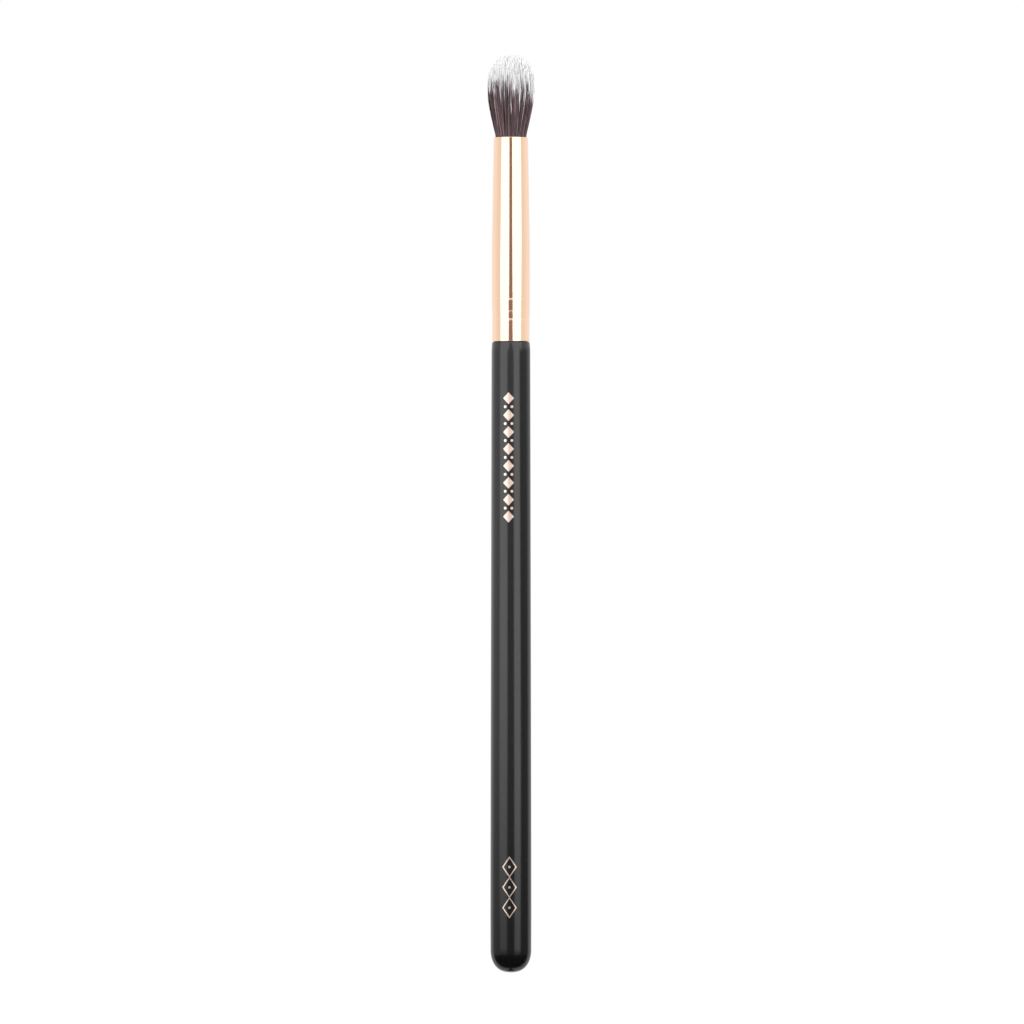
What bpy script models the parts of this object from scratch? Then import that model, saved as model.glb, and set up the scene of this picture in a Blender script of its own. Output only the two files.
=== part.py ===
"""A blending brush for eye make-up, as it comes apart on a bench.

A turned wooden handle ends in a tenon. A drawn metal ferrule is glued over the tenon and
crimped into it by three rolled grooves. In the ferrule's mouth sits a round tuft of bristles,
whose lower ends are tied with thread and set in resin.

The units are metres. +Z runs up the brush, from the butt of the handle to the bristle tips,
and the origin is the lowest point of the butt, on the brush's axis.
"""

import math
import random

import bmesh
import bpy
from mathutils import Vector

MM = 0.001

# Lengths along the brush
HANDLE_LENGTH = 116.6 * MM
FERRULE_LENGTH = 37.8 * MM
TUFT_LENGTH = 15.6 * MM

# Handle: the butt is a squared dome, the belly its widest place, the shoulder its upper end
BELLY_RADIUS = 3.79 * MM
BELLY_HEIGHT = 11.4 * MM
BUTT_RADIUS = 3.77 * MM
BUTT_HEIGHT = 4.44 * MM
BUTT_SQUARENESS = 2.35
TAPER_POWER = 1.25
SHOULDER_STEP = 0.15 * MM
SHOULDER_ROUND_HEIGHT = 1.9 * MM
SHOULDER_ROUND_DEPTH = 0.12 * MM

# Tenon: the thin upper end of the handle, inside the ferrule
TENON_LENGTH = 14.0 * MM
TENON_CHAMFER = 0.6 * MM
PILOT_MARGIN = 1.0 * MM
ADHESIVE_FILM = 0.25 * MM

# Ferrule: outer radii of the skirt below the crimp, of the body above it, and of the mouth
FERRULE_SKIRT_RADIUS = 3.43 * MM
FERRULE_BODY_RADIUS = 3.5 * MM
FERRULE_MOUTH_RADIUS = 3.15 * MM
FERRULE_WALL = 0.3 * MM
FERRULE_TAPER_START = 16.0 * MM
FERRULE_EDGE_ROUND = 0.08 * MM

# Crimp: three rolled grooves, the middle one shallower
CRIMP_HEIGHT = 4.1 * MM
CRIMP_SPAN = 3.75 * MM
CRIMP_HALF_WIDTH = 0.3 * MM
CRIMP_DEPTH = 0.08 * MM
CRIMP_PLACE_SHARES = (0.0, 0.39, 1.0)
CRIMP_DEPTH_SHARES = (1.0, 0.5, 1.0)
CRIMP_POINT_SHARES = (-1.0, -0.5, 0.0, 0.5, 1.0)

# Tuft: the bristles flare from the mouth, more slowly above the flare, and end on a round dome
TUFT_FLARE_RADIUS = 4.0 * MM
TUFT_FLARE_HEIGHT = 5.7 * MM
TUFT_WIDEST_RADIUS = 4.4 * MM
TUFT_DOME_FOOT = 9.2 * MM
BRISTLE_COUNT = 340
BRISTLE_SEED = 7
TIP_SCATTER_SHARE = 0.035
BRISTLE_THICKNESS_SHARE = 0.4
TIP_THICKNESS_SHARE = 0.06
GAP_SLICES = 24

# Root of the tuft: the bristles' packed lower ends, which a thread draws in to a neck
ROOT_DEPTH = 0.9 * MM
ROOT_LENGTH = 9.0 * MM
ROOT_NECK_DROP = 4.0 * MM
ROOT_NECK_LENGTH = 1.6 * MM
ROOT_NECK_DEPTH = 0.45 * MM
ROOT_FOOT_DEPTH = 0.3 * MM
ROOT_SLOPE = 0.5 * MM
BRISTLE_MARGIN = 0.16 * MM
BRISTLE_EMBED = 0.5 * MM

# Thread: turns side by side round the neck
THREAD_TURNS = 5
THREAD_DEPTH = 0.24 * MM
THREAD_RIPPLE = 0.05 * MM

# Resin: a cup cast round the foot of the root
RESIN_FLOOR = 1.8 * MM
RESIN_RIM = 1.5 * MM
RESIN_MENISCUS = 0.5 * MM

# Clearances: radial and end gaps between pieces that touch on the real brush
FIT_GAP = 0.06 * MM

# Facets of the round pieces
OUTER_STEPS = 36
INNER_STEPS = 24
ARC_STEPS = 8
EDGE_STEPS = 4
MERGE = 0.001 * MM

# Heights worked out from the lengths
FERRULE_TOP = HANDLE_LENGTH + FERRULE_LENGTH
ROOT_TOP = FERRULE_TOP - ROOT_DEPTH
ROOT_BOTTOM = ROOT_TOP - ROOT_LENGTH


# Shared helpers


def clear_scene():
    """Removes what a new Blender file starts with."""
    for old in list(bpy.data.objects):
        bpy.data.objects.remove(old)


def new_collection(name, hidden=False):
    """A collection of the scene. A hidden one holds helpers that aren't pieces."""
    collection = bpy.data.collections.new(name)
    collection.hide_render = hidden
    bpy.context.scene.collection.children.link(collection)
    return collection


def surface(name, colour, roughness, metallic=0.0):
    """A Principled BSDF material."""
    material = bpy.data.materials.new(name)
    material.use_nodes = True
    shader = material.node_tree.nodes["Principled BSDF"]
    shader.inputs["Base Color"].default_value = (*colour, 1.0)
    shader.inputs["Roughness"].default_value = roughness
    shader.inputs["Metallic"].default_value = metallic
    return material


def helper(obj):
    """Marks an object as a guide: drawn as wire, and left out of the render and of the build."""
    obj.hide_render = True
    obj.display_type = "WIRE"
    return obj


def mix(low, high, share):
    return low + (high - low) * share


def corner(centre, reach, steps, squareness=2.0, start=0.0, end=90.0):
    """Points on a squared arc about centre, at the given reach in radius and height.

    Angle 0 lies outwards from the centre, and 90 degrees above it.
    """
    points = []
    for step in range(steps + 1):
        angle = math.radians(mix(start, end, step / steps))
        across = math.copysign(abs(math.cos(angle)) ** (2 / squareness), math.cos(angle))
        up = math.copysign(abs(math.sin(angle)) ** (2 / squareness), math.sin(angle))
        points.append((centre[0] + reach[0] * across, centre[1] + reach[1] * up))
    return points


def turned(name, profile, steps, material, collection, ring=False):
    """A round piece: a profile of (radius, height) points, turned about Z by a Screw modifier.

    The profile runs down its outer side. A ring's profile closes on itself, and any other
    starts and ends on the axis.
    """
    shape = bmesh.new()
    points = [shape.verts.new((radius, 0.0, height)) for radius, height in profile]
    for first, second in zip(points, points[1:]):
        shape.edges.new((first, second))
    if ring:
        shape.edges.new((points[-1], points[0]))
    mesh = bpy.data.meshes.new(name)
    shape.to_mesh(mesh)
    shape.free()
    piece = bpy.data.objects.new(name, mesh)
    collection.objects.link(piece)
    screw = piece.modifiers.new("Turn", "SCREW")
    screw.steps = steps
    screw.render_steps = steps
    screw.use_merge_vertices = True
    screw.merge_threshold = MERGE
    screw.use_smooth_shade = True
    mesh.materials.append(material)
    return piece


# Ferrule


def crimp_heights():
    """Heights above the ferrule's lower edge of the points that draw its three grooves."""
    heights = []
    for place in CRIMP_PLACE_SHARES:
        middle = CRIMP_HEIGHT + CRIMP_SPAN * place
        heights += [middle + CRIMP_HALF_WIDTH * share for share in CRIMP_POINT_SHARES]
    return heights


def crimp_dip(height):
    """How far the grooves press the wall in at a height above the ferrule's lower edge."""
    dip = 0.0
    for place, share in zip(CRIMP_PLACE_SHARES, CRIMP_DEPTH_SHARES):
        off = abs(height - CRIMP_HEIGHT - CRIMP_SPAN * place) / CRIMP_HALF_WIDTH
        if off < 1.0:
            dip += CRIMP_DEPTH * share * math.cos(off * math.pi / 2) ** 2
    return dip


def ferrule_outer(height):
    """The ferrule's outer radius at a height above its lower edge."""
    swell = max(0.0, min(1.0, (height - CRIMP_HEIGHT) / CRIMP_SPAN))
    run = (height - FERRULE_TAPER_START) / (FERRULE_LENGTH - FERRULE_TAPER_START)
    body = mix(FERRULE_SKIRT_RADIUS, FERRULE_BODY_RADIUS, swell)
    return mix(body, FERRULE_MOUTH_RADIUS, max(0.0, min(1.0, run))) - crimp_dip(height)


def ferrule_bore(height):
    """The ferrule's inner radius at a height above its lower edge."""
    return ferrule_outer(height) - FERRULE_WALL


def bore_at(z):
    """The ferrule's inner radius at a height in the brush's frame."""
    return ferrule_bore(z - HANDLE_LENGTH)


def make_ferrule(material, collection):
    """A drawn tube with a full round lip at the mouth and the crimp rolled into its wall."""
    half_wall = FERRULE_WALL / 2
    lip_height = FERRULE_LENGTH - half_wall
    lip_middle = (ferrule_outer(lip_height) - half_wall, lip_height)
    lip = corner(lip_middle, (half_wall, half_wall), ARC_STEPS, start=180.0, end=0.0)
    walls = sorted(crimp_heights() + [FERRULE_TAPER_START])
    outside = [(ferrule_outer(height), height) for height in reversed(walls)]
    inside = [(ferrule_bore(height), height) for height in walls]
    edge_middle = (FERRULE_SKIRT_RADIUS - FERRULE_EDGE_ROUND, FERRULE_EDGE_ROUND)
    edge_reach = (FERRULE_EDGE_ROUND, FERRULE_EDGE_ROUND)
    edge = corner(edge_middle, edge_reach, EDGE_STEPS, start=0.0, end=-90.0)
    foot = [(ferrule_bore(0.0), 0.0)]
    profile = lip + outside + edge + foot + inside
    piece = turned("ferrule", profile, OUTER_STEPS, material, collection, ring=True)
    piece.location.z = HANDLE_LENGTH
    return piece


# Handle


def shoulder_radius():
    """The handle's radius just below its rounded shoulder, a step wider than the ferrule's skirt."""
    return FERRULE_SKIRT_RADIUS + SHOULDER_STEP


def handle_radius(z):
    """The handle's radius between the belly and the shoulder."""
    top = HANDLE_LENGTH - SHOULDER_ROUND_HEIGHT
    run = max(0.0, z - BELLY_HEIGHT) / (top - BELLY_HEIGHT)
    return mix(BELLY_RADIUS, shoulder_radius(), run**TAPER_POWER)


def pilot_top():
    """Height above the shoulder where the tenon's close-fitting pilot ends."""
    return CRIMP_HEIGHT + CRIMP_SPAN + CRIMP_HALF_WIDTH + PILOT_MARGIN


def relief_radius(height):
    """The tenon's radius above its pilot, where it leaves room for the adhesive."""
    return ferrule_bore(height) - 2 * FIT_GAP - ADHESIVE_FILM


def tenon_profile():
    """The tenon from its tip down to the shoulder, in heights above the shoulder."""
    tip_radius = relief_radius(TENON_LENGTH)
    below_tip = TENON_LENGTH - TENON_CHAMFER
    points = [(0.0, TENON_LENGTH), (tip_radius - TENON_CHAMFER, TENON_LENGTH)]
    points.append((relief_radius(below_tip), below_tip))
    if pilot_top() < FERRULE_TAPER_START < below_tip:
        points.append((relief_radius(FERRULE_TAPER_START), FERRULE_TAPER_START))
    points.append((relief_radius(pilot_top()), pilot_top()))
    walls = sorted(crimp_heights() + [pilot_top(), 0.0], reverse=True)
    points += [(ferrule_bore(height) - FIT_GAP, height) for height in walls]
    return points


def make_handle(material, collection):
    """The turned handle: tenon, rounded shoulder, slow taper, belly and domed butt."""
    tenon = [(radius, HANDLE_LENGTH + height) for radius, height in tenon_profile()]
    seat = HANDLE_LENGTH - FIT_GAP
    tenon[-1] = (tenon[-1][0], seat)
    round_foot = HANDLE_LENGTH - SHOULDER_ROUND_HEIGHT
    round_middle = (shoulder_radius() - SHOULDER_ROUND_DEPTH, round_foot)
    round_reach = (SHOULDER_ROUND_DEPTH, seat - round_foot)
    shoulder = corner(round_middle, round_reach, EDGE_STEPS, start=90.0, end=0.0)
    heights = [mix(round_foot, BELLY_HEIGHT, step / ARC_STEPS) for step in range(1, ARC_STEPS + 1)]
    taper = [(handle_radius(z), z) for z in heights]
    butt_reach = (BUTT_RADIUS, BUTT_HEIGHT)
    butt = corner((0.0, BUTT_HEIGHT), butt_reach, ARC_STEPS, BUTT_SQUARENESS, 0.0, -90.0)
    butt[-1] = (0.0, 0.0)
    return turned("handle", tenon + shoulder + taper + butt, OUTER_STEPS, material, collection)


def make_tenon_adhesive(material, collection):
    """The film of adhesive between the tenon's relief and the ferrule."""
    low = pilot_top() + FIT_GAP
    high = TENON_LENGTH - TENON_CHAMFER
    walls = [high, low]
    if low < FERRULE_TAPER_START < high:
        walls.insert(1, FERRULE_TAPER_START)
    outside = [(ferrule_bore(height) - FIT_GAP, height) for height in walls]
    inside = [(radius - ADHESIVE_FILM, height) for radius, height in reversed(outside)]
    profile = outside + inside
    piece = turned("tenon_adhesive", profile, OUTER_STEPS, material, collection, ring=True)
    piece.location.z = HANDLE_LENGTH
    return piece


# Root of the tuft


def neck_top():
    """Height where the root is first drawn in to its full depth."""
    return ROOT_TOP - ROOT_NECK_DROP


def neck_bottom():
    return neck_top() - ROOT_NECK_LENGTH


def neck_radius():
    """The root's radius under the thread."""
    return bore_at(neck_top()) - FIT_GAP - ROOT_NECK_DEPTH


def foot_radius():
    """The root's radius below the thread, inside the resin."""
    return bore_at(neck_bottom()) - FIT_GAP - ROOT_FOOT_DEPTH


def root_profile():
    """The tuft's packed root, drawn in at the neck where it is tied."""
    above_neck = neck_top() + ROOT_SLOPE
    return [
        (0.0, ROOT_TOP),
        (bore_at(ROOT_TOP) - FIT_GAP, ROOT_TOP),
        (bore_at(above_neck) - FIT_GAP, above_neck),
        (neck_radius(), neck_top()),
        (neck_radius(), neck_bottom()),
        (foot_radius(), neck_bottom() - ROOT_SLOPE),
        (foot_radius(), ROOT_BOTTOM),
        (0.0, ROOT_BOTTOM),
    ]


def make_binding_thread(material, collection):
    """The thread tied round the neck, as one ring with a ridge for each turn."""
    inner = neck_radius() + FIT_GAP
    outer = inner + THREAD_DEPTH - THREAD_RIPPLE
    top = neck_top() - FIT_GAP
    turn = (ROOT_NECK_LENGTH - 2 * FIT_GAP) / THREAD_TURNS
    outside = [(outer, top)]
    for index in range(THREAD_TURNS):
        outside.append((outer + THREAD_RIPPLE, top - turn * index - turn / 2))
        outside.append((outer, top - turn * index - turn))
    profile = outside + [(inner, outside[-1][1]), (inner, top)]
    return turned("binding_thread", profile, INNER_STEPS, material, collection, ring=True)


def make_resin_plug(material, collection):
    """The resin cast into the ferrule: a cup round the root's foot, dished below."""
    rim = ROOT_BOTTOM + RESIN_RIM
    floor_top = ROOT_BOTTOM - FIT_GAP
    floor_bottom = floor_top - RESIN_FLOOR
    inner = foot_radius() + FIT_GAP
    profile = [
        (0.0, floor_top),
        (inner, floor_top),
        (inner, rim),
        (bore_at(rim) - FIT_GAP, rim),
        (bore_at(floor_bottom) - FIT_GAP, floor_bottom - RESIN_MENISCUS),
        (mix(0.0, inner, 0.5), floor_bottom - RESIN_MENISCUS / 4),
        (0.0, floor_bottom),
    ]
    return turned("resin_plug", profile, INNER_STEPS, material, collection)


# Bristles


def bundle_radius():
    """Radius of the circle that the bristles' middles keep to, inside the ferrule."""
    return bore_at(FERRULE_TOP) - FIT_GAP - BRISTLE_MARGIN


def fan(height):
    """How much wider the tuft is at a height above the mouth than inside the ferrule."""
    flare = TUFT_FLARE_RADIUS / bundle_radius()
    widest = TUFT_WIDEST_RADIUS / bundle_radius()
    if height < TUFT_FLARE_HEIGHT:
        return mix(1.0, flare, max(0.0, height) / TUFT_FLARE_HEIGHT)
    above = (height - TUFT_FLARE_HEIGHT) / (TUFT_DOME_FOOT - TUFT_FLARE_HEIGHT)
    return mix(flare, widest, above)


def tip_height(reach, scatter):
    """Height above the mouth where a bristle ends, by its share of the tuft's radius."""
    dome = TUFT_LENGTH - TUFT_DOME_FOOT
    full = TUFT_DOME_FOOT + dome * math.sqrt(1 - reach**2)
    return full * (1 - TIP_SCATTER_SHARE * scatter)


def bristle_paths():
    """Each bristle as points (place, thickness), from inside the root up to its tip.

    The roots lie on a sunflower spiral, and every bristle widens its place by the same fan,
    so no two of them cross.
    """
    chance = random.Random(BRISTLE_SEED)
    spacing = bundle_radius() * math.sqrt(math.pi / BRISTLE_COUNT)
    golden = math.pi * (3 - math.sqrt(5))
    shares = [BRISTLE_THICKNESS_SHARE] * 3 + [TIP_THICKNESS_SHARE]
    paths = []
    for index in range(BRISTLE_COUNT):
        reach = math.sqrt((index + 0.5) / BRISTLE_COUNT)
        angle = golden * index
        outward = Vector((math.cos(angle), math.sin(angle), 0.0)) * bundle_radius() * reach
        root = -ROOT_DEPTH - BRISTLE_EMBED
        heights = [root, 0.0, TUFT_FLARE_HEIGHT, tip_height(reach, chance.random())]
        path = []
        for height, share in zip(heights, shares):
            place = outward * fan(height)
            place.z = FERRULE_TOP + height
            path.append((place, spacing * share * fan(height)))
        paths.append(path)
    return paths


def place_on(path, z):
    """A bristle's place and thickness at a height, or None above its tip."""
    for (low, low_thick), (high, high_thick) in zip(path, path[1:]):
        if low.z <= z <= high.z:
            share = (z - low.z) / (high.z - low.z)
            return low.lerp(high, share), mix(low_thick, high_thick, share)
    return None


def least_bristle_gap(paths):
    """The least distance between two bristles' surfaces, measured on level slices."""
    least = math.inf
    for slice_index in range(GAP_SLICES):
        z = ROOT_TOP + (ROOT_DEPTH + TUFT_LENGTH) * slice_index / GAP_SLICES
        cut = [found for found in (place_on(path, z) for path in paths) if found]
        for index, (place, thick) in enumerate(cut):
            for other, other_thick in cut[index + 1 :]:
                least = min(least, (place - other).length - thick - other_thick)
    return least


def made_bristles(helpers):
    """The bristles as one mesh of separate, closed, three-sided tapering tubes."""
    outline = bpy.data.curves.new("bristle_section", "CURVE")
    section = outline.splines.new("POLY")
    section.points.add(2)
    for index, point in enumerate(section.points):
        angle = math.tau * index / len(section.points)
        point.co = (math.cos(angle), math.sin(angle), 0.0, 1.0)
    section.use_cyclic_u = True
    section_guide = helper(bpy.data.objects.new("bristle_section", outline))
    helpers.objects.link(section_guide)
    strands = bpy.data.curves.new("bristles", "CURVE")
    strands.dimensions = "3D"
    strands.bevel_mode = "OBJECT"
    strands.bevel_object = section_guide
    strands.use_fill_caps = True
    paths = bristle_paths()
    for index, path in enumerate(paths):
        spline = strands.splines.new("POLY")
        spline.points.add(len(path) - 1)
        for point, (place, thick) in zip(spline.points, path):
            point.co = (*place, 1.0)
            point.radius = thick
            point.tilt = index
    curve = bpy.data.objects.new("bristle_curves", strands)
    helpers.objects.link(curve)
    print(f"Least gap between bristles: {least_bristle_gap(paths) / MM:.3f} mm")
    return helper(made_mesh(curve, "bristles", helpers))


def make_bristle_tuft(material, collection, helpers):
    """The bristles, joined to the packed root that they stand on."""
    tuft = turned("bristle_tuft", root_profile(), INNER_STEPS, material, collection)
    joined = tuft.modifiers.new("Bristles", "BOOLEAN")
    joined.operation = "UNION"
    joined.solver = "EXACT"
    joined.object = made_bristles(helpers)
    return tuft


def made_mesh(curve, name, collection):
    """Turns a curve object into a mesh object with welded caps, and removes the curve."""
    bpy.context.view_layer.update()
    graph = bpy.context.evaluated_depsgraph_get()
    mesh = bpy.data.meshes.new_from_object(curve.evaluated_get(graph))
    mesh.name = name
    shape = bmesh.new()
    shape.from_mesh(mesh)
    bmesh.ops.remove_doubles(shape, verts=shape.verts, dist=MERGE)
    bmesh.ops.recalc_face_normals(shape, faces=shape.faces)
    shape.to_mesh(mesh)
    shape.free()
    piece = bpy.data.objects.new(name, mesh)
    piece.matrix_world = curve.matrix_world
    collection.objects.link(piece)
    bpy.data.objects.remove(curve)
    return piece


def main():
    clear_scene()
    brush = new_collection("blending_brush")
    helpers = new_collection("helpers", hidden=True)
    lacquer = surface("black_lacquer", (0.03, 0.028, 0.028), 0.35)
    rose_gold = surface("rose_gold", (0.96, 0.66, 0.5), 0.12, metallic=1.0)
    bristle = surface("two_tone_bristle", (0.2, 0.13, 0.13), 0.5)
    thread = surface("tie_thread", (0.7, 0.66, 0.58), 0.8)
    resin = surface("amber_resin", (0.5, 0.32, 0.12), 0.2)
    glue = surface("white_adhesive", (0.8, 0.78, 0.7), 0.5)
    make_handle(lacquer, brush)
    make_ferrule(rose_gold, brush)
    make_tenon_adhesive(glue, brush)
    make_binding_thread(thread, brush)
    make_resin_plug(resin, brush)
    make_bristle_tuft(bristle, brush, helpers)


main()
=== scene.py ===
"""The looks of a blending brush: lacquered handle, plated ferrule and a dense two-tone tuft.

The units are metres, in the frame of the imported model: +Z runs up the brush from the butt of
the handle, and the photograph looks along +Y.
"""

import math

import bpy
import numpy as np
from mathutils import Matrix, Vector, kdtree


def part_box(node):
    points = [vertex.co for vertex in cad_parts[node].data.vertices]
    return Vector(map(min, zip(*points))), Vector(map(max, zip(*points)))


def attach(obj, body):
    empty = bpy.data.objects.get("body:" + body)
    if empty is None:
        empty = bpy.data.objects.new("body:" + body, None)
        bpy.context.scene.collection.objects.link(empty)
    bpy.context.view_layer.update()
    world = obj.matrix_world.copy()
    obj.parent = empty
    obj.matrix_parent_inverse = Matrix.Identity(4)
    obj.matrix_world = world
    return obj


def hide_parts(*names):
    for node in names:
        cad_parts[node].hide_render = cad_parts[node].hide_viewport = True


MM = 0.001
TINY = 1e-9

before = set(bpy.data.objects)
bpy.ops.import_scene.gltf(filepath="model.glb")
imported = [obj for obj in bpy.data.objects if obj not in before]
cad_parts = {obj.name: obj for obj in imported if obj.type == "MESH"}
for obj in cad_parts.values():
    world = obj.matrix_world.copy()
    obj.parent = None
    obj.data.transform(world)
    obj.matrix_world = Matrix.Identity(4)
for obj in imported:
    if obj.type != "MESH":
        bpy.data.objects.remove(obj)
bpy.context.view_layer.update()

# Heights along the brush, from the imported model
_, HANDLE_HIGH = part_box("handle")
FERRULE_LOW, FERRULE_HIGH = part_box("ferrule")
_, TUFT_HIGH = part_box("bristle_tuft")
SHOULDER_Z = FERRULE_LOW[2]
MOUTH_Z = FERRULE_HIGH[2]
TIP_Z = TUFT_HIGH[2]
FERRULE_LENGTH = MOUTH_Z - SHOULDER_Z
TUFT_LENGTH = TIP_Z - MOUTH_Z

# Handle
BELLY_RADIUS = HANDLE_HIGH[0]
BELLY_HEIGHT = 11.4 * MM
BUTT_RADIUS = 3.77 * MM
BUTT_HEIGHT = 4.44 * MM
BUTT_SQUARENESS = 2.35
TAPER_POWER = 1.25
SHOULDER_RADIUS = 3.58 * MM
SHOULDER_ROUND_HEIGHT = 1.9 * MM
SHOULDER_ROUND_DEPTH = 0.12 * MM
SHOULDER_SQUARENESS = 1.3
SHOULDER_GAP = 0.08 * MM
SEAM_DEPTH = 0.2 * MM
TENON_RADIUS = 2.75 * MM
TENON_REACH = HANDLE_HIGH[2] - SHOULDER_Z

# Ferrule
SKIRT_RADIUS = 3.43 * MM
BODY_RADIUS = 3.5 * MM
MOUTH_RADIUS = 3.15 * MM
WALL = 0.3 * MM
TAPER_START = 16.0 * MM
TAPER_SOFT_SHARE = 0.08
LIP_HEIGHT = 0.07 * MM
EDGE_ROUND = 0.06 * MM
EDGE_LIFT = 0.06 * MM
CRIMP_HEIGHT = 4.1 * MM
CRIMP_SPAN = 3.75 * MM
CRIMP_HALF_WIDTH = 0.18 * MM
CRIMP_DEPTH = 0.0145 * MM
CRIMP_STEPS = 8
CRIMP_PLACE_SHARES = (0.0, 0.39, 1.0)
CRIMP_DEPTH_SHARES = (1.0, 0.5, 1.0)

# Foil ornaments on the handle: where each is centred, and the sizes of its lozenges and dots
FOIL_LIFT = 0.012 * MM
FOIL_DEPTH = 0.03 * MM
UPPER_FOIL_HEIGHT = 95.2 * MM
UPPER_FOIL_AZIMUTH = -7.0
UPPER_LOZENGE_COUNT = 8
UPPER_LOZENGE_WIDTH = 2.0 * MM
UPPER_LOZENGE_LENGTH = 2.15 * MM
UPPER_LOZENGE_PITCH = 3.12 * MM
UPPER_DOT_RADIUS = 0.26 * MM
UPPER_DOT_OFFSET = 0.62 * MM
LOWER_FOIL_HEIGHT = 15.9 * MM
LOWER_FOIL_AZIMUTH = -4.0
LOWER_LOZENGE_COUNT = 3
LOWER_LOZENGE_WIDTH = 2.7 * MM
LOWER_LOZENGE_LENGTH = 4.0 * MM
LOWER_LOZENGE_PITCH = 3.75 * MM
LOWER_LINE_WIDTH = 0.2 * MM
LOWER_DOT_RADIUS = 0.24 * MM
LOZENGE_TIP_SHARE = 0.02
DOT_HOLE_SHARE = 0.02

# Tuft: the envelope that its bristles fill
BUNDLE_RADIUS = 2.76 * MM
WIDEST_RADIUS = 4.25 * MM
WIDEST_HEIGHT = 9.0 * MM
FLARE_POWER = 1.35
DOME_FOOT = 10.0 * MM
DOME_SQUARENESS = 2.3
DOME_EDGE_SHARE = 0.995
REACH_LIMIT = 4.34 * MM
LEAN_LIMIT = 4.38 * MM
TUFT_LEAN = 0.1 * MM
TUFT_PIECES = 8

# Bristles
SEED = 37
BRISTLE_COUNT = 13000
BRISTLE_RADIUS = 0.028 * MM
BRISTLE_ROOT = 0.8 * MM
BRISTLE_SIDES = 3
BRISTLE_LEVELS = 10
BRISTLE_THICKNESS_SHARES = (0.8, 1.2)
TIP_TAPER_START_SHARE = 0.6
TIP_TAPER_POWER = 1.3
TIP_THICKNESS_SHARE = 0.35
TIP_DROP = 0.3 * MM
TIP_DROP_LIMIT = 4.0
WISP_DROP_SHARE = 0.1

# Wisps and strands: bristles draw together in strands and, less so, in wisps
WISP_COUNT = 600
STRAND_COUNT = 2300
STRAND_KINDS = 3
ROOT_JITTER_SHARE = 0.004
WISP_JITTER_SHARE = 0.008
STRAND_JITTER_SHARE = 0.006
WISP_PULL_SHARE = 0.3
STRAND_PULL_SHARE = 0.7
PULL_TURN = 2.85
WEAVE_SHARE = 0.02
WEAVE_WAVES = (0.6, 1.6)
WEAVE_ONSET_SHARE = 0.125
REACH_SPREAD_SHARE = 0.02
WISP_SWAY = 0.1 * MM
STRAND_SWAY = 0.1 * MM
SWAY = 0.05 * MM
STRAY_SHARE = 0.04
STRAY_SWAY = 0.3 * MM

# Dye: the height at which a bristle turns from dark to white, and how that wanders
DYE_HEIGHT = 8.95 * MM
DYE_KIND_STEP = 1.15 * MM
DYE_WISP_SPREAD = 0.25 * MM
DYE_STRAND_SPREAD = 0.7 * MM
DYE_BRISTLE_SPREAD = 0.4 * MM
DYE_TILT_SHARE = 0.13
DYE_FADE = 1.0 * MM
DYE_TIP_CLEAR = 1.0 * MM
DYE_STREAK_REACH = 3.3 * MM
PALE_STREAK_SHARE = 0.16
DARK_STREAK_SHARE = 0.16
STREAK_REACH_SHARES = (0.3, 1.7)
STREAK_THICKNESS_SHARE = 0.94

# Painted shading: each bristle's colour made darker or lighter, as painted shade in the gaps
# between strands and painted highlights on them, mostly where they are dark
KIND_PAINTED_SHADING_SHARE = 0.8
WISP_PAINTED_SHADING_SHARE = 0.12
STRAND_PAINTED_SHADING_SHARE = 0.65
BRISTLE_PAINTED_SHADING_SHARE = 0.3
# How much of the painted shade and highlight the white part loses
WHITE_EVENNESS_SHARE = 0.92
# Painted shade that greys the tips, standing for the light that passes through them
TIP_PAINTED_SHADE_SHARE = 0.03
PAINTED_SHADING_LIMITS = (0.15, 3.0)

# Bake map of the bristles. Each has a cell, with a strip for its sides and a triangle for each end
BAKE_CELL_RATIO = 20
STRIP_LEFT_SHARE = 0.1
STRIP_WIDTH_SHARE = 0.8
STRIP_LOW_SHARE = 0.05
STRIP_HEIGHT_SHARE = 0.9
END_CORNER_SHARES = ((0.0, 0.0), (0.6, 0.0), (0.3, 0.04))
TIP_END_SHARE = 0.955

# Facets
TURN_STEPS = 144
ARC_STEPS = 20
TAPER_STEPS = 40
LOZENGE_STEPS = 8
DOT_STEPS = 16
PANEL_STEPS = 16
OVERHEAD_STEPS = 48

# Materials: tones, roughness, and the size and stretch of the noise that carries them
WHITE = (1.0, 1.0, 1.0)
BLACK = (0.0, 0.0, 0.0)
NOISE_ENDS = (0.3, 0.7)
NOISE_DETAIL = 3.0
LACQUER_TONES = ((0.0036, 0.0035, 0.0034), (0.0056, 0.0054, 0.0052))
LACQUER_ROUGHNESS = (0.18, 0.22)
LACQUER_IOR = 1.6
GRAIN_SCALE = 2600.0
GRAIN_STRETCH = 40.0
PEEL_SCALE = 900.0
PEEL_DETAIL = 1.0
PEEL_STRENGTH = 0.06
PEEL_DEPTH = 0.02 * MM
PLATING_TONES = ((0.95, 0.66, 0.475), (0.985, 0.7, 0.51))
PLATING_ENDS = (0.2, 0.8)
PLATING_ROUGHNESS = (0.08, 0.12)
DRAWING_SCALE = 9000.0
DRAWING_STRETCH = 300.0
DRAWING_STRENGTH = 0.05
DRAWING_DEPTH = 0.004 * MM
FOIL_TONES = ((0.95, 0.72, 0.6), (1.0, 0.82, 0.72))
FOIL_ROUGHNESS = (0.32, 0.45)
CRINKLE_SCALE = 5000.0
CRINKLE_STRETCH = 2.0
CRINKLE_STRENGTH = 0.2
CRINKLE_DEPTH = 0.01 * MM
FILAMENT_STOPS = (
    (0.0, (0.122, 0.077, 0.084)),
    (0.35, (0.111, 0.07, 0.077)),
    (0.6, (0.42, 0.38, 0.4)),
    (0.85, (0.985, 0.985, 0.99)),
)
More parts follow.
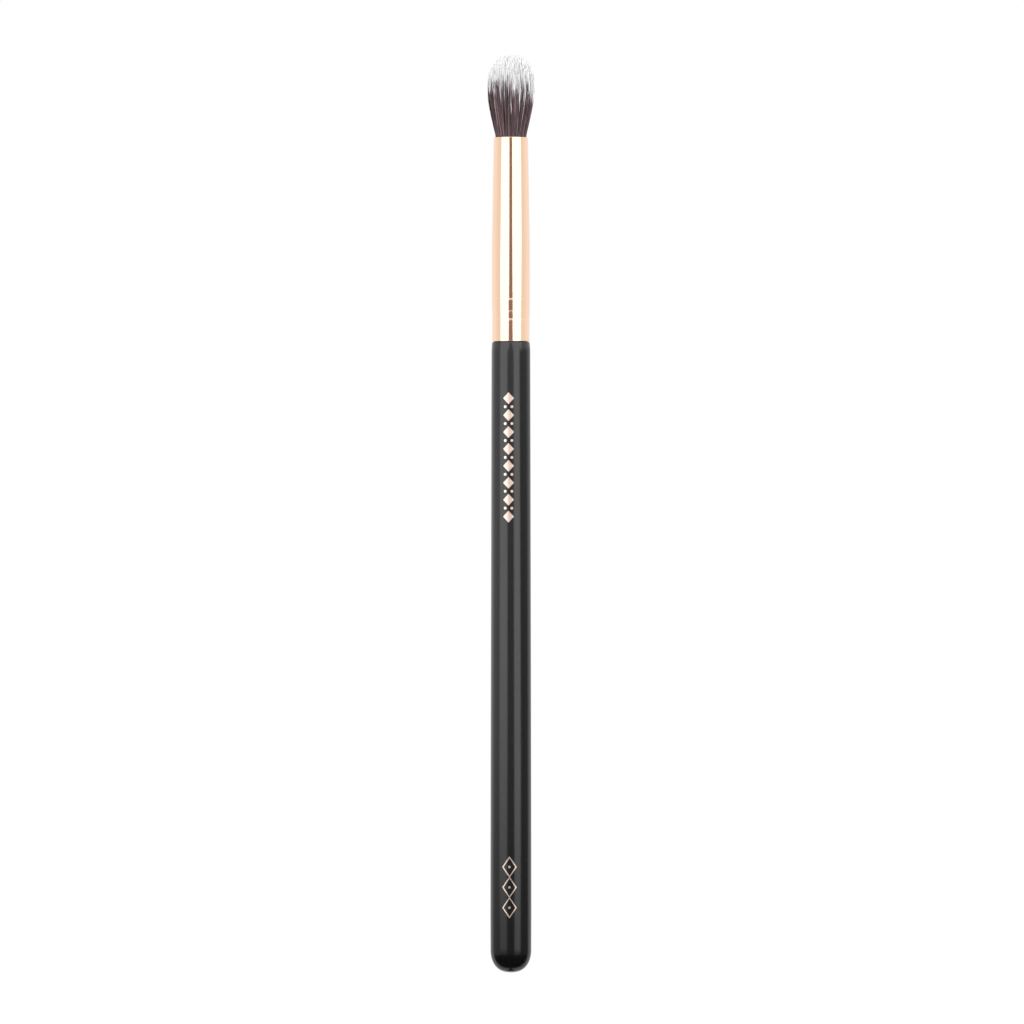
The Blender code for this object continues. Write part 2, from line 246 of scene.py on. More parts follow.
FILAMENT_ROUGHNESS = 0.45
FILAMENT_SPECULAR = 0.3

# Places of the colour sockets of a Mix node, which has others with the same names
MIX_COLOUR_A = 6
MIX_COLOUR_B = 7
MIX_COLOUR_RESULT = 2

# Hidden pieces: material name, dark and light tone, roughness and the scale of the mottling
HIDDEN_LOOKS = {
    "tenon_adhesive": ("set_adhesive", (0.7, 0.68, 0.6), (0.85, 0.83, 0.76), 0.5, 800.0),
    "binding_thread": ("waxed_thread", (0.6, 0.56, 0.48), (0.75, 0.71, 0.63), 0.8, 3000.0),
    "resin_plug": ("amber_resin", (0.42, 0.25, 0.08), (0.55, 0.36, 0.14), 0.15, 400.0),
}

# Photograph: its width in pixels, where the brush lies in it, and its scale
PHOTO_SIDE = 1024
PHOTO_AXIS_X = 510.9
PHOTO_TIP_Y = 53.4
PHOTO_BUTT_Y = 972.4
CAMERA_DISTANCE = 1.5
CAMERA_REACH = 10.0
SENSOR_WIDTH = 36.0

# Floor
FLOOR_Z = -120 * MM
FLOOR_SIDE = 4.0
FLOOR_TONE = (0.9, 0.9, 0.9)
FLOOR_ROUGHNESS = 0.9
FLOOR_GLOW = 0.2
DARK_CARD_SIDE = 220 * MM
DARK_CARD_LIFT = 1.0 * MM

# Surroundings that gloss sees: their dim parts, by the Y or Z of a direction of length 1
DIM_TONE = (0.26, 0.2, 0.19)
FRONT_OPENING_Y = (-0.93, -0.86)
FRONT_OPENING_Z = (0.1, 0.2)
BACK_OPENING_Y = (0.97, 0.99)
BACK_OPENING_SHADE = 0.3
FRONT_HALF_Y = (-0.2, 0.5)
FRONT_HALF_SHADE = 0.86

# Panels far from the brush and cards near it. Each has rows of a height and two edges' azimuths,
# in degrees from the camera's side, and strengths by height, both from its lower end up.
PANEL_DISTANCE = 450 * MM
FRONT_GAP_LOW = 135 * MM
FRONT_GAP_HIGH = 140 * MM
FRONT_MIDDLE = 165 * MM
FRONT_TOP = 250 * MM
FRONT_LEFT_ROWS = (
    (FLOOR_Z, -15.0, -66.0),
    (FRONT_GAP_LOW, -15.0, -66.5),
    (FRONT_GAP_HIGH, -10.5, -66.5),
    (FRONT_MIDDLE, -10.5, -65.5),
    (FRONT_TOP, -11.0, -65.0),
)
FRONT_LEFT_STRENGTHS = (
    (-45 * MM, 0.2),
    (-19 * MM, 0.58),
    (-15 * MM, 0.66),
    (16 * MM, 1.5),
    (60 * MM, 1.95),
)
FRONT_RIGHT_ROWS = (
    (FLOOR_Z, 12.0, 64.0),
    (FRONT_GAP_LOW, 12.0, 64.0),
    (FRONT_GAP_HIGH, 9.5, 66.0),
    (FRONT_MIDDLE, 9.0, 69.0),
    (FRONT_TOP, 9.8, 70.0),
)
FRONT_RIGHT_STRENGTHS = (
    (-45 * MM, 0.35),
    (-19 * MM, 0.98),
    (-16 * MM, 1.12),
    (16 * MM, 1.75),
    (60 * MM, 1.95),
)
UPPER_TOP = 550 * MM
UPPER_LEFT_ROWS = ((FRONT_TOP, 0.0, -64.0), (UPPER_TOP, 0.0, -64.0))
UPPER_RIGHT_ROWS = ((FRONT_TOP, 0.0, 70.0), (UPPER_TOP, 0.0, 70.0))
UPPER_STRENGTHS = ((0.0, 2.3),)
OVERHEAD_Z = 600 * MM
OVERHEAD_RADIUS = 450 * MM
OVERHEAD_STRENGTHS = ((0.0, 0.75),)

CARD_DISTANCE = 15 * MM
CARD_FOOT = 6 * MM
CARD_MIDDLE = 41 * MM
CARD_UPPER = 70 * MM
CARD_TOP = 116.45 * MM
LEFT_BACK_CARD_TOP = 80 * MM
SIDE_CARD_EDGE = 101.0
LEFT_CARD_EDGE = -105.0
BACK_CARD_EDGE = 160.0
FRONT_CARD_ROWS = (
    (FLOOR_Z, -20.0, 18.4),
    (CARD_FOOT, -20.0, 18.4),
    (CARD_MIDDLE, -17.3, 17.0),
    (CARD_UPPER, -17.3, 15.7),
    (CARD_TOP, -19.0, 14.1),
)
FRONT_CARD_STRENGTHS = ((0.0, 0.1), (40 * MM, 0.28), (CARD_UPPER, 0.34), (CARD_TOP, 0.6))
RIGHT_CARD_ROWS = (
    (FLOOR_Z, 49.0, SIDE_CARD_EDGE),
    (CARD_FOOT, 49.0, SIDE_CARD_EDGE),
    (CARD_MIDDLE, 51.2, SIDE_CARD_EDGE),
    (CARD_UPPER, 49.6, SIDE_CARD_EDGE),
    (CARD_TOP, 46.0, SIDE_CARD_EDGE),
)
RIGHT_CARD_STRENGTHS = (
    (0.0, 0.12),
    (30 * MM, 0.2),
    (68 * MM, 0.26),
    (108 * MM, 0.38),
    (CARD_TOP, 0.4),
)
RIGHT_BACK_CARD_ROWS = (
    (FLOOR_Z, SIDE_CARD_EDGE, BACK_CARD_EDGE),
    (CARD_TOP, SIDE_CARD_EDGE, BACK_CARD_EDGE),
)
RIGHT_BACK_CARD_STRENGTHS = ((0.0, 0.68),)
LEFT_CARD_ROWS = (
    (FLOOR_Z, -56.0, LEFT_CARD_EDGE),
    (CARD_FOOT, -56.0, LEFT_CARD_EDGE),
    (CARD_MIDDLE, -63.4, LEFT_CARD_EDGE),
    (CARD_TOP, -63.4, LEFT_CARD_EDGE),
)
LEFT_CARD_STRENGTHS = (
    (0.0, 0.3),
    (40 * MM, 0.64),
    (80 * MM, 0.8),
    (CARD_TOP, 0.76),
)
LEFT_BACK_CARD_ROWS = (
    (FLOOR_Z, LEFT_CARD_EDGE, -BACK_CARD_EDGE),
    (LEFT_BACK_CARD_TOP, LEFT_CARD_EDGE, -BACK_CARD_EDGE),
)
LEFT_BACK_CARD_STRENGTHS = ((-10 * MM, 0.7), (LEFT_BACK_CARD_TOP, 1.0))
BUTT_CARD_DISTANCE = 13 * MM
BUTT_CARD_TOP = 0.8 * MM
BUTT_CARD_EDGE = 100.0
BUTT_CARD_ROWS = (
    (FLOOR_Z, -BUTT_CARD_EDGE, BUTT_CARD_EDGE),
    (BUTT_CARD_TOP, -BUTT_CARD_EDGE, BUTT_CARD_EDGE),
)
NO_STRENGTH = ((0.0, 0.0),)


def mix(low, high, share):
    """The value at a share of the way from low to high."""
    return low + (high - low) * share


def corner(centre, reach, steps, squareness=2.0, start=0.0, end=90.0):
    """Points on a squared arc about centre, at the given reach in radius and height."""
    points = []
    for step in range(steps + 1):
        angle = math.radians(mix(start, end, step / steps))
        across = math.copysign(abs(math.cos(angle)) ** (2 / squareness), math.cos(angle))
        up = math.copysign(abs(math.sin(angle)) ** (2 / squareness), math.sin(angle))
        points.append((centre[0] + reach[0] * across, centre[1] + reach[1] * up))
    return points


# Materials


def new_material(name):
    """A material, its node tree and its Principled shader."""
    material = bpy.data.materials.new(name)
    material.use_nodes = True
    tree = material.node_tree
    shader = tree.nodes["Principled BSDF"]
    return material, tree, shader


def add(tree, kind, **settings):
    """Adds a node with the given attributes."""
    node = tree.nodes.new(kind)
    for key, value in settings.items():
        setattr(node, key, value)
    return node


def link(tree, source, target):
    """Joins an output socket to an input socket."""
    tree.links.new(source, target)


def stretched_noise(tree, scale, stretch, detail=NOISE_DETAIL):
    """Noise in object space, drawn out along Z by the given factor. Returns its Fac socket."""
    place = add(tree, "ShaderNodeTexCoord")
    mapping = add(tree, "ShaderNodeMapping")
    mapping.inputs["Scale"].default_value = (scale, scale, scale / stretch)
    noise = add(tree, "ShaderNodeTexNoise")
    noise.inputs["Scale"].default_value = 1.0
    noise.inputs["Detail"].default_value = detail
    link(tree, place.outputs["Object"], mapping.inputs["Vector"])
    link(tree, mapping.outputs["Vector"], noise.inputs["Vector"])
    return noise.outputs["Fac"]


def mapped(tree, source, ends, results, **settings):
    """A value that runs between two results as a socket runs between two ends."""
    node = add(tree, "ShaderNodeMapRange", **settings)
    node.inputs["From Min"].default_value = ends[0]
    node.inputs["From Max"].default_value = ends[1]
    node.inputs["To Min"].default_value = results[0]
    node.inputs["To Max"].default_value = results[1]
    link(tree, source, node.inputs["Value"])
    return node.outputs["Result"]


def combined(tree, operation, first, second):
    """Two sockets put together by an operation such as MAXIMUM."""
    node = add(tree, "ShaderNodeMath", operation=operation)
    link(tree, first, node.inputs[0])
    link(tree, second, node.inputs[1])
    return node.outputs["Value"]


def ramp(tree, source, stops):
    """A colour ramp with the given (position, colour) stops."""
    node = add(tree, "ShaderNodeValToRGB")
    elements = node.color_ramp.elements
    while len(elements) < len(stops):
        elements.new(0.5)
    for element, (position, colour) in zip(elements, stops):
        element.position = position
        element.color = (*colour, 1.0)
    link(tree, source, node.inputs["Fac"])
    return node.outputs["Color"]


def toned(tree, shader, source, tones, ends=NOISE_ENDS):
    """Colours a shader between two tones as the noise runs between its ends."""
    link(tree, ramp(tree, source, list(zip(ends, tones))), shader.inputs["Base Color"])


def roughened(tree, shader, source, roughness):
    """Varies a shader's roughness between two values with the noise."""
    link(tree, mapped(tree, source, NOISE_ENDS, roughness), shader.inputs["Roughness"])


def bump(tree, shader, source, strength, distance):
    """Gives a shader fine relief from the noise."""
    node = add(tree, "ShaderNodeBump")
    node.inputs["Strength"].default_value = strength
    node.inputs["Distance"].default_value = distance
    link(tree, source, node.inputs["Height"])
    link(tree, node.outputs["Normal"], shader.inputs["Normal"])


def lacquer_material():
    """Satin black lacquer over fine wood: a faint long grain and a soft orange peel."""
    material, tree, shader = new_material("satin_black_lacquer")
    grain = stretched_noise(tree, GRAIN_SCALE, GRAIN_STRETCH)
    toned(tree, shader, grain, LACQUER_TONES)
    peel = stretched_noise(tree, PEEL_SCALE, 1.0, PEEL_DETAIL)
    roughened(tree, shader, peel, LACQUER_ROUGHNESS)
    bump(tree, shader, peel, PEEL_STRENGTH, PEEL_DEPTH)
    shader.inputs["IOR"].default_value = LACQUER_IOR
    return material


def plating_material():
    """Polished rose-gold plating, with the faintest lines from drawing the tube."""
    material, tree, shader = new_material("rose_gold_plating")
    lines = stretched_noise(tree, DRAWING_SCALE, DRAWING_STRETCH)
    toned(tree, shader, lines, PLATING_TONES, PLATING_ENDS)
    roughened(tree, shader, lines, PLATING_ROUGHNESS)
    bump(tree, shader, lines, DRAWING_STRENGTH, DRAWING_DEPTH)
    shader.inputs["Metallic"].default_value = 1.0
    return material


def foil_material():
    """Hot-stamped rose-gold foil, a little crinkled by the grain under it."""
    material, tree, shader = new_material("stamped_foil")
    crinkle = stretched_noise(tree, CRINKLE_SCALE, CRINKLE_STRETCH)
    toned(tree, shader, crinkle, FOIL_TONES)
    roughened(tree, shader, crinkle, FOIL_ROUGHNESS)
    bump(tree, shader, crinkle, CRINKLE_STRENGTH, CRINKLE_DEPTH)
    shader.inputs["Metallic"].default_value = 1.0
    return material


def bristle_material():
    """Synthetic filament dyed dark at its base: the dye and the painted shading (painted shade and
    highlight) ride on each bristle.
    """
    material, tree, shader = new_material("two_tone_filament")
    dye = add(tree, "ShaderNodeAttribute", attribute_name="dye")
    painted_shading = add(tree, "ShaderNodeAttribute", attribute_name="painted_shading")
    colour = ramp(tree, dye.outputs["Fac"], FILAMENT_STOPS)
    # The dye's colour times the painted shading: painted shade in the gaps between strands, painted
    # highlights on them
    tint = add(tree, "ShaderNodeMix", data_type="RGBA", blend_type="MULTIPLY")
    tint.inputs["Factor"].default_value = 1.0
    link(tree, colour, tint.inputs[MIX_COLOUR_A])
    link(tree, painted_shading.outputs["Color"], tint.inputs[MIX_COLOUR_B])
    link(tree, tint.outputs[MIX_COLOUR_RESULT], shader.inputs["Base Color"])
    shader.inputs["Roughness"].default_value = FILAMENT_ROUGHNESS
    shader.inputs["Specular IOR Level"].default_value = FILAMENT_SPECULAR
    return material


def mottled_material(name, dark, light, roughness, scale):
    """A plain hidden material whose colour wanders between two tones."""
    material, tree, shader = new_material(name)
    toned(tree, shader, stretched_noise(tree, scale, 1.0), (dark, light))
    shader.inputs["Roughness"].default_value = roughness
    return material


# Turned pieces


def new_piece(name, vertices, faces, material, smooth=True):
    """A mesh object with the given numpy vertices and faces."""
    mesh = bpy.data.meshes.new(name)
    mesh.from_pydata(vertices.tolist(), [], faces)
    mesh.polygons.foreach_set("use_smooth", [smooth] * len(mesh.polygons))
    mesh.materials.append(material)
    mesh.update()
    piece = bpy.data.objects.new(name, mesh)
    bpy.context.scene.collection.objects.link(piece)
    return piece


def grid_faces(columns, rows):
    """Faces of a grid of points that runs row by row."""
    faces = []
    for row in range(rows):
        for column in range(columns):
            first = row * (columns + 1) + column
            faces.append([first, first + 1, first + columns + 2, first + columns + 1])
    return faces


def turned(name, profile, material, closed=False):
    """Turns a profile of (radius, z) points, running down its outer side, about Z.

    A closed profile joins its last point to its first.
    """
    vertices = []
    rings = []
    for radius, z in profile:
        start = len(vertices)
        if radius < TINY:
            rings.append([start] * TURN_STEPS)
            vertices.append((0.0, 0.0, z))
            continue
        rings.append(list(range(start, start + TURN_STEPS)))
        for step in range(TURN_STEPS):
            angle = math.tau * step / TURN_STEPS
            vertices.append((radius * math.cos(angle), radius * math.sin(angle), z))
    faces = []
    pairs = list(zip(rings, rings[1:]))
    if closed:
        pairs.append((rings[-1], rings[0]))
    for upper, lower in pairs:
        for step in range(TURN_STEPS):
            after = (step + 1) % TURN_STEPS
            face = [upper[step], lower[step], lower[after], upper[after]]
            faces.append(list(dict.fromkeys(face)))
    return new_piece(name, np.array(vertices), faces, material)


def crimp_heights():
    """Heights of the rings that follow each groove, with one more on each side of it."""
    heights = []
    for place in CRIMP_PLACE_SHARES:
        middle = CRIMP_HEIGHT + CRIMP_SPAN * place
        for step in range(-CRIMP_STEPS - 1, CRIMP_STEPS + 2):
            heights.append(middle + CRIMP_HALF_WIDTH * step / CRIMP_STEPS)
    return heights


def crimp_dip(height):
    """How far the grooves press the wall in at a height above the ferrule's lower edge."""
    dip = 0.0
    for place, share in zip(CRIMP_PLACE_SHARES, CRIMP_DEPTH_SHARES):
        off = abs(height - CRIMP_HEIGHT - CRIMP_SPAN * place) / CRIMP_HALF_WIDTH
        if off < 1.0:
            dip += CRIMP_DEPTH * share * math.cos(off * math.pi / 2) ** 2
    return dip


def ease(share):
    """A share from 0 to 1 with a soft start and a soft end."""
    share = max(0.0, min(1.0, share))
    return share * share * (3 - 2 * share)


def ferrule_outer(height):
    """The ferrule's outer radius at a height above its lower edge."""
    body = mix(SKIRT_RADIUS, BODY_RADIUS, ease((height - CRIMP_HEIGHT) / CRIMP_SPAN))
    run = max(0.0, (height - TAPER_START) / (FERRULE_LENGTH - TAPER_START))
    soft = run - TAPER_SOFT_SHARE * (1 - math.exp(-run / TAPER_SOFT_SHARE)) * (1 - run)
    return mix(body, MOUTH_RADIUS, soft) - crimp_dip(height)


def make_ferrule(material):
    """The drawn tube: rounded lip, outside with its grooves, rounded lower edge and inside.

    Rings close below the lip and above the lower edge keep the shading of the rounds to themselves.
    """
    half_wall = WALL / 2
    lip_height = FERRULE_LENGTH - LIP_HEIGHT
    lip_middle = (ferrule_outer(lip_height) - half_wall, lip_height)
    lip = corner(lip_middle, (half_wall, LIP_HEIGHT), ARC_STEPS, start=180.0, end=0.0)
    plain = [mix(CRIMP_HEIGHT, lip_height, step / TAPER_STEPS) for step in range(TAPER_STEPS)]
    ends = [EDGE_LIFT + 2 * EDGE_ROUND, lip_height - LIP_HEIGHT]
    heights = sorted(set(crimp_heights() + plain + ends))
    outside = [(ferrule_outer(height), height) for height in reversed(heights)]
    inside = [(ferrule_outer(height) - WALL, height) for height in heights]
    edge_middle = (SKIRT_RADIUS - EDGE_ROUND, EDGE_LIFT + EDGE_ROUND)
    edge = corner(edge_middle, (EDGE_ROUND, EDGE_ROUND), ARC_STEPS // 2, start=0.0, end=-90.0)
    foot = [(SKIRT_RADIUS - WALL, EDGE_LIFT)]
    points = lip + outside + edge + foot + inside
    profile = [(radius, SHOULDER_Z + height) for radius, height in points]
    piece = turned("ferrule_plated", profile, material, closed=True)
    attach(piece, "root")
    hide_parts("ferrule")
    return piece


def handle_radius(z):
    """The handle's radius at a height between the belly and the shoulder."""
    top = SHOULDER_Z - SHOULDER_ROUND_HEIGHT
    run = max(0.0, z - BELLY_HEIGHT) / (top - BELLY_HEIGHT)
    return mix(BELLY_RADIUS, SHOULDER_RADIUS, run**TAPER_POWER)


def make_handle(material):
    """The turned handle, from its tenon down over shoulder, taper and belly to the butt."""
    seat = SHOULDER_Z - SHOULDER_GAP
    tenon_top = SHOULDER_Z + TENON_REACH
    seam_radius = SKIRT_RADIUS - SEAM_DEPTH
    tenon = [(0.0, tenon_top), (TENON_RADIUS, tenon_top), (TENON_RADIUS, SHOULDER_Z)]
    tenon += [(seam_radius, SHOULDER_Z), (seam_radius, seat)]
    round_foot = SHOULDER_Z - SHOULDER_ROUND_HEIGHT
    round_middle = (SHOULDER_RADIUS - SHOULDER_ROUND_DEPTH, round_foot)
    round_reach = (SHOULDER_ROUND_DEPTH, seat - round_foot)
    shoulder = corner(round_middle, round_reach, ARC_STEPS, SHOULDER_SQUARENESS, 90.0, 0.0)
    taper = []
    for step in range(1, TAPER_STEPS + 1):
        z = mix(round_foot, BELLY_HEIGHT, step / TAPER_STEPS)
        taper.append((handle_radius(z), z))
    belly = []
    for step in range(1, ARC_STEPS):
        share = step / ARC_STEPS
        radius = mix(BELLY_RADIUS, BUTT_RADIUS, ease(share))
        belly.append((radius, mix(BELLY_HEIGHT, BUTT_HEIGHT, share)))
    butt_reach = (BUTT_RADIUS, BUTT_HEIGHT)
    butt = corner((0.0, BUTT_HEIGHT), butt_reach, 2 * ARC_STEPS, BUTT_SQUARENESS, 0.0, -90.0)
    butt[-1] = (0.0, 0.0)
    piece = turned("handle_lacquered", tenon + shoulder + taper + belly + butt, material)
    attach(piece, "root")
    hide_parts("handle")
    return piece


# Foil


def lozenge(middle, width, length):
    """A filled lozenge as a grid of points on the unrolled handle, and its faces."""
    points = []
    for row in range(LOZENGE_STEPS + 1):
        up = 2 * row / LOZENGE_STEPS - 1
        for column in range(LOZENGE_STEPS + 1):
            across = (2 * column / LOZENGE_STEPS - 1) * mix(1.0, LOZENGE_TIP_SHARE, abs(up))
            points.append((middle[0] + across * width / 2, middle[1] + up * length / 2))
    return points, grid_faces(LOZENGE_STEPS, LOZENGE_STEPS)


def band(outer, inner):
    """The points of two loops of as many points, and the faces between them."""
    count = len(outer)
    faces = []
    for step in range(count):
        after = (step + 1) % count
        faces.append([step, after, count + after, count + step])
    return outer + inner, faces


def lozenge_line(middle, width, length, line):
    """A lozenge drawn as a line of even width."""
    slant = math.hypot(1 / width, 1 / length)
    loops = []
    for inset in (0.0, line * slant * 2):
        loop = []
        for step in range(4 * LOZENGE_STEPS):
            quarter, share = divmod(step / LOZENGE_STEPS, 1)
            start = math.radians(90 * quarter)
            end = start + math.pi / 2
            across = mix(math.cos(start), math.cos(end), share) * (1 - inset)
            up = mix(math.sin(start), math.sin(end), share) * (1 - inset)
            loop.append((middle[0] + across * width / 2, middle[1] + up * length / 2))
        loops.append(loop)
    return band(*loops)


def dot(middle, radius):
    """A round dot, with a hole too small to see in its middle."""
    loops = []
    for reach in (radius, DOT_HOLE_SHARE * radius):
        loop = []
        for step in range(DOT_STEPS):
            angle = math.tau * step / DOT_STEPS
            loop.append((middle[0] + reach * math.cos(angle), middle[1] + reach * math.sin(angle)))
        loops.append(loop)
    return band(*loops)


def wrapped(across, z, azimuth, lift):
    """The point at a distance across the unrolled handle and a height, lifted off the lacquer."""
    radius = handle_radius(z) + lift
    turn = math.radians(azimuth) + across / handle_radius(z)
    return (radius * math.sin(turn), -radius * math.cos(turn), z)


def stamp(name, shapes, azimuth, material):
    """Wraps flat shapes of (across, height) points round the handle as thin closed plates."""
    vertices = []
    faces = []
    for points, cells in shapes:
        start = len(vertices)
        under = start + len(points)
        for lift in (FOIL_LIFT, FOIL_LIFT - FOIL_DEPTH):
            for across, z in points:
                vertices.append(wrapped(across, z, azimuth, lift))
        edges = {}
        for cell in cells:
            faces.append([start + vertex for vertex in cell])
            faces.append([under + vertex for vertex in reversed(cell)])
            for first, second in zip(cell, cell[1:] + cell[:1]):
                edges[(first, second)] = True
        for first, second in edges:
            if (second, first) not in edges:
                faces.append([start + second, start + first, under + first, under + second])
    piece = new_piece(name, np.array(vertices), faces, material, smooth=False)
    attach(piece, "root")
    return piece


def make_foil(material):
    """Two plain ornaments of lozenges and dots, stamped where the handle is marked."""
    shapes = []
    first = UPPER_FOIL_HEIGHT - UPPER_LOZENGE_PITCH * (UPPER_LOZENGE_COUNT - 1) / 2
    for index in range(UPPER_LOZENGE_COUNT):
        middle = first + UPPER_LOZENGE_PITCH * index
        shapes.append(lozenge((0.0, middle), UPPER_LOZENGE_WIDTH, UPPER_LOZENGE_LENGTH))
        if index:
            between = middle - UPPER_LOZENGE_PITCH / 2
            shapes.append(dot((-UPPER_DOT_OFFSET, between), UPPER_DOT_RADIUS))
            shapes.append(dot((UPPER_DOT_OFFSET, between), UPPER_DOT_RADIUS))
    stamp("foil_upper", shapes, UPPER_FOIL_AZIMUTH, material)

    shapes = []
    first = LOWER_FOIL_HEIGHT - LOWER_LOZENGE_PITCH * (LOWER_LOZENGE_COUNT - 1) / 2
    for index in range(LOWER_LOZENGE_COUNT):
        middle = (0.0, first + LOWER_LOZENGE_PITCH * index)
        size = (LOWER_LOZENGE_WIDTH, LOWER_LOZENGE_LENGTH)
        shapes.append(lozenge_line(middle, *size, LOWER_LINE_WIDTH))
        shapes.append(dot(middle, LOWER_DOT_RADIUS))
    stamp("foil_lower", shapes, LOWER_FOIL_AZIMUTH, material)


# Tuft


def sunflower(count):
    """Points spread evenly over a unit disk, as (x, y) rows."""
    golden_angle = math.pi * (3 - math.sqrt(5))
    index = np.arange(count)
    reach = np.sqrt((index + 0.5) / count)
    angle = index * golden_angle
    return np.stack([reach * np.cos(angle), reach * np.sin(angle)], axis=1)


def flare(height):
    """How much wider the tuft is at a height above the mouth than inside the ferrule."""
    left = 1.0 - np.clip(height / WIDEST_HEIGHT, 0.0, 1.0)
    return 1.0 + (WIDEST_RADIUS / BUNDLE_RADIUS - 1.0) * (1.0 - left**FLARE_POWER)


def nearest(points, centres):
    """The index of the centre nearest to each point."""
    tree = kdtree.KDTree(len(centres))
    for index, (x, y) in enumerate(centres):
        tree.insert((x, y, 0.0), index)
    tree.balance()
    return np.array([tree.find((x, y, 0.0))[1] for x, y in points])


def alternating(places, kinds):
    """A kind from -1 to 1 for each place, so that neighbours round the tuft differ."""
    reach = np.linalg.norm(places, axis=1)
    angle = np.arctan2(places[:, 1], places[:, 0])
    circle = np.floor(reach / math.sqrt(math.pi / len(places)))
    kind = np.empty(len(places))
    kind[np.lexsort((angle, circle))] = np.arange(len(places)) % kinds
    return 2 * kind / (kinds - 1) - 1


def bristle_heights(chance, wisp, roots):
    """Heights of the bristles' levels above the mouth, which end in the dome."""
    reach = np.minimum(np.linalg.norm(roots, axis=1), DOME_EDGE_SHARE)
    dome = TUFT_LENGTH - DOME_FOOT
    tips = DOME_FOOT + dome * (1.0 - reach**DOME_SQUARENESS) ** (1 / DOME_SQUARENESS)
    wisp_drop = chance.exponential(1.0, WISP_COUNT)[wisp]
    own_drop = chance.exponential(1.0, BRISTLE_COUNT)
    drop = WISP_DROP_SHARE * wisp_drop + (1 - WISP_DROP_SHARE) * own_drop
    tips = tips - TIP_DROP * np.minimum(drop, TIP_DROP_LIMIT)
    share = np.linspace(0.0, 1.0, BRISTLE_LEVELS)
    return -BRISTLE_ROOT + (tips + BRISTLE_ROOT)[:, None] * share[None, :]


def bristle_sways(chance, strand, wisp):
    """How far each bristle's tip leans and how far its middle bends, as (x, y) rows."""
    lean = chance.normal(0.0, SWAY, (BRISTLE_COUNT, 2))
    lean = lean + chance.normal(0.0, WISP_SWAY, (WISP_COUNT, 2))[wisp]
    lean = lean + chance.normal(0.0, STRAND_SWAY, (STRAND_COUNT, 2))[strand]
    stray = chance.uniform(0.0, 1.0, BRISTLE_COUNT) < STRAY_SHARE
    lean[stray] = chance.normal(0.0, STRAY_SWAY, (stray.sum(), 2))
    bend = chance.normal(0.0, SWAY, (BRISTLE_COUNT, 2))
    bend = bend + chance.normal(0.0, STRAND_SWAY, (STRAND_COUNT, 2))[strand]
    return lean, bend


def bristle_places(chance, strand, wisp, strands, wisps, roots):
    """Centre lines of the bristles, as (count, levels, 3), and their heights above the mouth."""
    height = bristle_heights(chance, wisp, roots)
    up = np.clip(height / TUFT_LENGTH, 0.0, 1.0)[:, :, None]
    flat = roots[:, None, :]
    for centres, share in ((strands[strand], STRAND_PULL_SHARE), (wisps[wisp], WISP_PULL_SHARE)):
        pull = share * np.sin(PULL_TURN * up)
        flat = flat * (1 - pull) + centres[:, None, :] * pull
    wide = chance.normal(1.0, REACH_SPREAD_SHARE, BRISTLE_COUNT)[:, None, None]
    spread = flat * (BUNDLE_RADIUS * flare(height))[:, :, None] * (1 + (wide - 1) * up)
    lean, bend = bristle_sways(chance, strand, wisp)
    spread = spread + lean[:, None, :] * up**2 + bend[:, None, :] * np.sin(up * math.pi)
    turn = chance.uniform(0.0, math.tau, STRAND_COUNT)[strand][:, None, None]
    waves = chance.uniform(*WEAVE_WAVES, STRAND_COUNT)[strand][:, None, None]
    onset = np.clip(up / WEAVE_ONSET_SHARE, 0.0, 1.0)
    spread = spread * (1 + WEAVE_SHARE * np.sin(math.tau * waves * up + turn) * onset)
    out = np.linalg.norm(spread, axis=2)
    limit = np.where(height < 0, BUNDLE_RADIUS, REACH_LIMIT)
    spread = spread * np.minimum(1.0, limit / np.maximum(out, TINY))[:, :, None]
    spread[:, :, 0] = np.minimum(spread[:, :, 0] + TUFT_LEAN * up[:, :, 0], LEAN_LIMIT)
    return np.concatenate([spread, (MOUTH_Z + height)[:, :, None]], axis=2), height


def bristle_dye(chance, strand, wisp, kind, lines, height, thickness):
    """How white each bristle is at its levels, from 0 to 1. Stout bristles carry the streaks."""
    strand_dye = DYE_KIND_STEP * kind + chance.normal(0.0, DYE_STRAND_SPREAD, STRAND_COUNT)
    dye_height = DYE_HEIGHT + strand_dye[strand] - DYE_TILT_SHARE * lines[:, -1, 0]
    dye_height = dye_height + chance.normal(0.0, DYE_WISP_SPREAD, WISP_COUNT)[wisp]
    dye_height = dye_height + chance.normal(0.0, DYE_BRISTLE_SPREAD, BRISTLE_COUNT)
    lot = chance.uniform(0.0, 1.0, STRAND_COUNT)
    streak = (lot < PALE_STREAK_SHARE).astype(float) - (lot > 1 - DARK_STREAK_SHARE)
    streak = (streak * chance.uniform(*STREAK_REACH_SHARES, STRAND_COUNT))[strand]
    stout = thickness[:, 0] > STREAK_THICKNESS_SHARE * BRISTLE_RADIUS
    dye_height = dye_height - DYE_STREAK_REACH * streak * stout
    dye_height = np.minimum(dye_height, height[:, -1] - DYE_TIP_CLEAR)
    return np.clip(0.5 + (height - dye_height[:, None]) / (2 * DYE_FADE), 0.0, 1.0)


